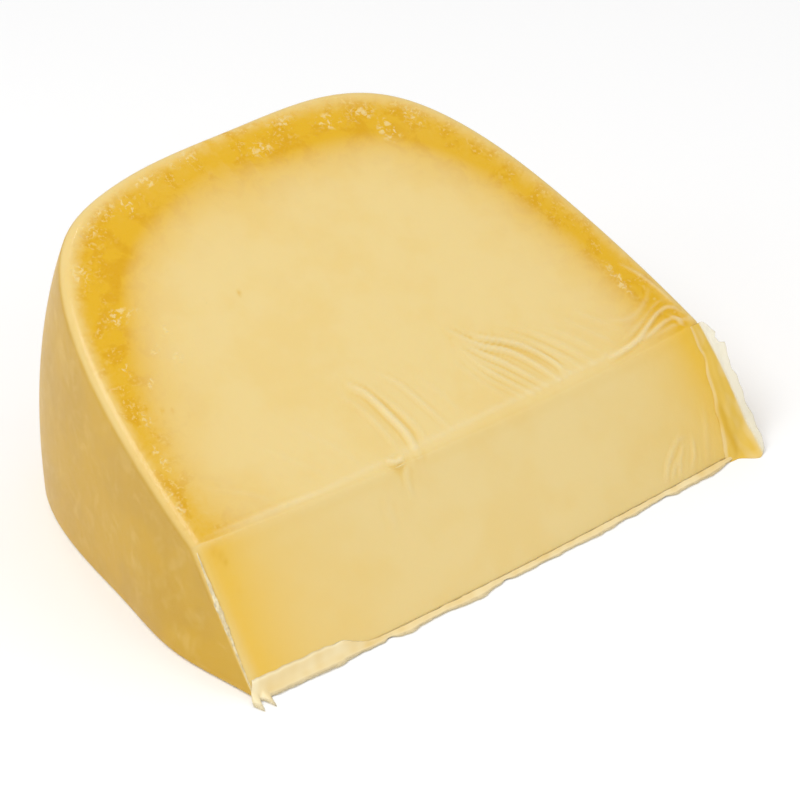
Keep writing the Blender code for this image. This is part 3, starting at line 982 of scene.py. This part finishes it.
class GOUDA_OT_ridge(Operator):
    """Makes the crumpled ridge of film up the left end of the tip cut"""

    bl_idname = "gouda.ridge"
    bl_label = "Ridge"

    def execute(self, context):
        settings = context.scene.gouda_film
        rings, spokes = RIDGE_GRID
        place = np.linspace(0, 1, rings)
        up = RIDGE_ENDS[0] + RIDGE_ENDS[1] * place
        line = on_tip_cut(0 * place, WEDGE_ANGLE * up)
        sunk = (0.45 + 0.5 * place)[:, None] * MM
        line = line + 0.5 * sunk * np.array([1.0, 0.0, 0.0]) - 0.5 * sunk * TIP_OUT
        turn = np.linspace(0, math.tau, spokes, endpoint=False)
        high = np.repeat(RIDGE_LENGTH * place, spokes)
        grid = np.stack([high, np.tile(2 * np.cos(turn), rings), np.tile(2 * np.sin(turn), rings)], axis=1)
        thick = 0.17 + 0.24 * bell(high, 19.0, 4.5) + 0.10 * smooth(3, 0, high)
        upper = 0.35 + 0.65 * smooth(11, 16, high)
        crumple = 1 + upper * (0.35 * ripple(grid, (1.0, 4.0), 31) + 0.18 * ripple(grid, (0.6, 1.4), 32))
        taper = np.repeat(np.sin(math.pi * (0.02 + 0.96 * place)) ** 0.3, spokes)
        radius = (thick * np.maximum(crumple, 0.3) * taper)[:, None] * MM
        aside = np.tile(np.cos(turn), rings)[:, None] * np.array([1.0, 0.0, 0.0])
        ahead = np.tile(np.sin(turn), rings)[:, None] * -TIP_OUT
        points = np.repeat(line, spokes, axis=0) + radius * (aside + ahead)
        points[:, 2] = np.maximum(points[:, 2], RIDGE_CLEARANCE)
        number = np.arange(rings * spokes).reshape(rings, spokes)
        after = np.roll(number, -1, axis=1)
        quads = np.stack([number[:-1], after[:-1], after[1:], number[1:]], axis=-1).reshape(-1, 4)
        caps = [number[0][::-1].tolist(), number[-1].tolist()]
        # The ridge's pale milky colour is partly crumpled film and partly a painted highlight, whiter
        # towards its top
        cloud = np.clip(0.80 + 0.20 * ripple(grid, (1.0, 4.0), 33), 0.55, 0.95)
        stain = np.clip(0.68 - 0.34 * upper + 0.2 * ripple(grid, (2.0, 6.0), 34), 0, 0.7)
        ridge = new_mesh("ridge", points, quads.tolist() + caps, {"cloud": cloud, "stain": stain})
        finish_piece(ridge, film_material("film_ridge", settings, RIDGE_HAZE_AND_SHEEN), "film")
        return {"FINISHED"}


class GOUDA_OT_stage(Operator):
    """Makes the camera, the soft lights, the sky and the floor"""

    bl_idname = "gouda.stage"
    bl_label = "Stage"

    def execute(self, context):
        scene, settings = context.scene, context.scene.gouda_stage
        turn, rise, roll = settings.turn, settings.rise, settings.roll
        right = Vector((math.cos(turn), math.sin(turn), 0.0))
        ahead = Vector((-math.sin(turn) * math.cos(rise), math.cos(turn) * math.cos(rise), -math.sin(rise)))
        up = right.cross(ahead)
        rolled_right = right * math.cos(roll) + up * math.sin(roll)
        rolled_up = up * math.cos(roll) - right * math.sin(roll)
        place = Vector(settings.aim) + rolled_right * settings.aside + rolled_up * settings.above
        place -= ahead * settings.distance
        lens = bpy.data.cameras.new("camera")
        lens.lens = settings.lens
        lens.sensor_width = 36.0
        lens.clip_start = 0.01
        camera = bpy.data.objects.new("camera", lens)
        axes = Matrix((rolled_right, rolled_up, -ahead)).transposed().to_4x4()
        camera.matrix_world = Matrix.Translation(place) @ axes
        scene.collection.objects.link(camera)
        scene.camera = camera

        for name, spot, size, power in (
            ("key", (-0.36, -0.05, 0.75), 0.5, settings.key),
            ("fill", (0.36, -0.72, 0.45), 0.6, settings.fill),
            ("edge", (-0.62, 0.04, 0.45), 0.22, settings.edge),
            ("glint_rear", (0.08, 0.22, 0.76), 0.08, settings.glint),
            ("glint_right", (0.72, -0.16, 0.40), 0.08, settings.glint),
        ):
            lamp = bpy.data.lights.new(name, "AREA")
            lamp.shape = "DISK"
            lamp.size = size
            lamp.energy = power
            light = bpy.data.objects.new(name, lamp)
            light.location = spot
            light.rotation_euler = (-Vector(spot)).to_track_quat("-Z", "Y").to_euler()
            scene.collection.objects.link(light)

        world = bpy.data.worlds.new("sky")
        world.use_nodes = True
        background = world.node_tree.nodes["Background"]
        background.inputs["Color"].default_value = (1.0, 1.0, 1.0, 1.0)
        background.inputs["Strength"].default_value = settings.sky
        scene.world = world

        corners = FLOOR_REACH * np.array([[-1, -1, 0], [1, -1, 0], [1, 1, 0], [-1, 1, 0]], dtype=float)
        floor = new_mesh("floor", corners, [[0, 1, 2, 3]])
        recipe = Recipe("floor")
        faint = recipe.noise(0.2, 2.0)
        colour = recipe.blend(faint, (0.96, 0.96, 0.96, 1.0), (0.97, 0.97, 0.97, 1.0))
        shader = recipe.add("ShaderNodeBsdfPrincipled", {"Base Color": colour, "Roughness": 0.9})
        floor.data.materials.append(recipe.finish(shader.outputs[0]))
        scene.view_settings.view_transform = "Standard"
        return {"FINISHED"}


class GOUDA_PT_sidebar(Panel):
    """Lists the pieces and their settings"""

    bl_idname = "GOUDA_PT_sidebar"
    bl_label = "Gouda"
    bl_space_type = "VIEW_3D"
    bl_region_type = "UI"
    bl_category = "Gouda"

    def draw(self, context):
        for group, operators in PANEL_ROWS:
            box = self.layout.box()
            settings = getattr(context.scene, group)
            for key in settings.__annotations__:
                box.prop(settings, key)
            for operator in operators:
                box.operator(operator)


PANEL_ROWS = (
    ("gouda_cheese", ("gouda.cheese",)),
    ("gouda_film", ("gouda.film", "gouda.hems", "gouda.ridge")),
    ("gouda_stage", ("gouda.stage",)),
)
GROUPS = {"gouda_cheese": GoudaCheese, "gouda_film": GoudaFilm, "gouda_stage": GoudaStage}
OPERATORS = (GOUDA_OT_cheese, GOUDA_OT_film, GOUDA_OT_hems, GOUDA_OT_ridge, GOUDA_OT_stage)


def register():
    for cls in (*GROUPS.values(), *OPERATORS, GOUDA_PT_sidebar):
        bpy.utils.register_class(cls)
    for name, group in GROUPS.items():
        setattr(bpy.types.Scene, name, PointerProperty(type=group))


def unregister():
    for name in GROUPS:
        delattr(bpy.types.Scene, name)
    for cls in (GOUDA_PT_sidebar, *reversed(OPERATORS), *GROUPS.values()):
        bpy.utils.unregister_class(cls)


def main():
    """Makes every piece."""
    register()
    bpy.ops.gouda.cheese()
    bpy.ops.gouda.film()
    bpy.ops.gouda.hems()
    bpy.ops.gouda.ridge()
    bpy.ops.gouda.stage()


if __name__ == "__main__":
    main()
